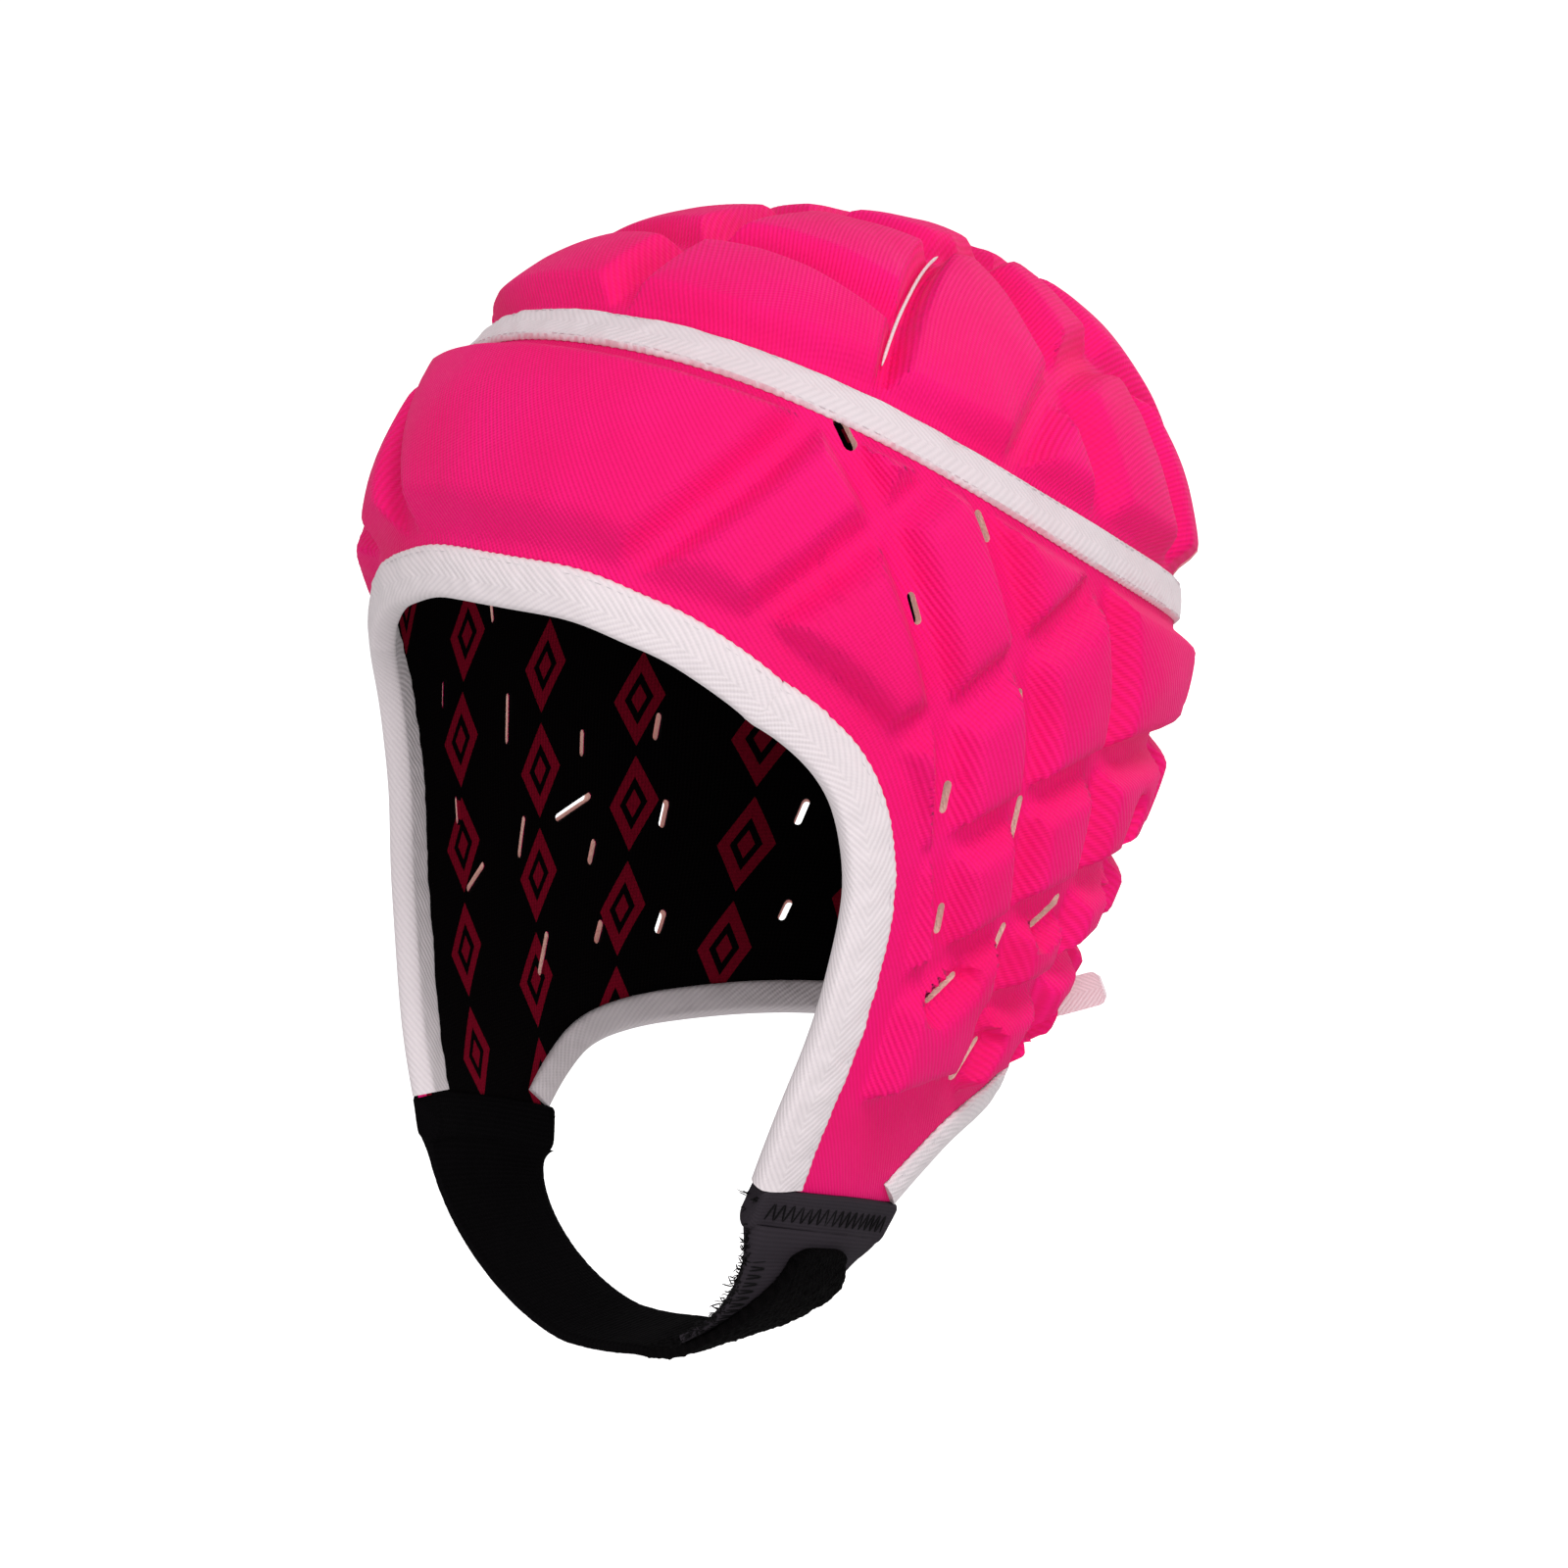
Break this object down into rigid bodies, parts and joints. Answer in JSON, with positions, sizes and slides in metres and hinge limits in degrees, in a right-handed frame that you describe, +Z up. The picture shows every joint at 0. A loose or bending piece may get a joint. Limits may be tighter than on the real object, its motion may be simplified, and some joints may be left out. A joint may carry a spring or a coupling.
{
  "type": "rugby scrum cap",
  "caption": "Padded soft head guard with a quilted foam shell, ear flaps, off-white edge tapes, dark lining and a chin strap pressed onto a side tab.",
  "frame": {"origin": "the inside top of the crown, where the cap sits on the head", "axes": "+Z up, the face looks towards -Y, the wearer's left is +X"},
  "size_m": [0.1794, 0.2072, 0.259],
  "materials": {
    "padded_knit": "hot pink knit over foam, finely ribbed",
    "lining_cloth": "black knit with small dark red lozenges",
    "edge_tape": "off-white herringbone tape",
    "strap_cloth": "matt black knit with a fuzzy fastening end",
    "tab_cloth": "smooth charcoal cloth, zigzag stitched"
  },
  "bodies": {
    "root": {"crown_panel": "padded_knit", "side_panel": "padded_knit", "lining": "lining_cloth", "seam_tape": "edge_tape", "face_binding": "edge_tape", "neck_binding": "edge_tape", "chin_strap": "strap_cloth", "strap_anchor": "tab_cloth", "rear_tape": "edge_tape"}
  },
  "joints": []
}
